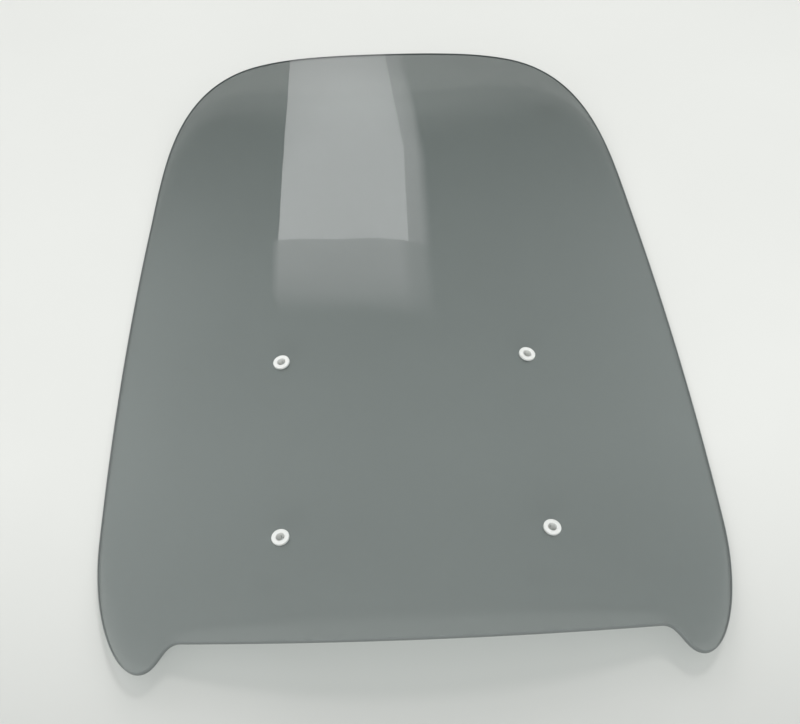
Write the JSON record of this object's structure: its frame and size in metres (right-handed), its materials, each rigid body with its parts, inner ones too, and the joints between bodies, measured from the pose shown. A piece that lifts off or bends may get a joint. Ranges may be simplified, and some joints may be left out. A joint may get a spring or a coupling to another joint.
{
  "type": "motorcycle windshield screen",
  "caption": "Smoke-tinted clear plastic motorcycle windshield screen, curved, with rounded top corners, small lower ears and snap-in nylon screw bushes.",
  "frame": {"origin": "centre of the footprint, on the surface that the loose screen lies on", "axes": "+Z out of the convex face, +Y along the ridge towards the narrow top, +X towards the rider's right when fitted with the top up"},
  "size_m": [0.39, 0.525, 0.0519],
  "materials": {
    "tinted_acrylic": "polished",
    "natural_nylon": "satin"
  },
  "bodies": {
    "root": {"screen": "tinted_acrylic", "upper_left_bush": "natural_nylon", "upper_right_bush": "natural_nylon", "lower_left_bush": "natural_nylon", "lower_right_bush": "natural_nylon"}
  },
  "joints": []
}
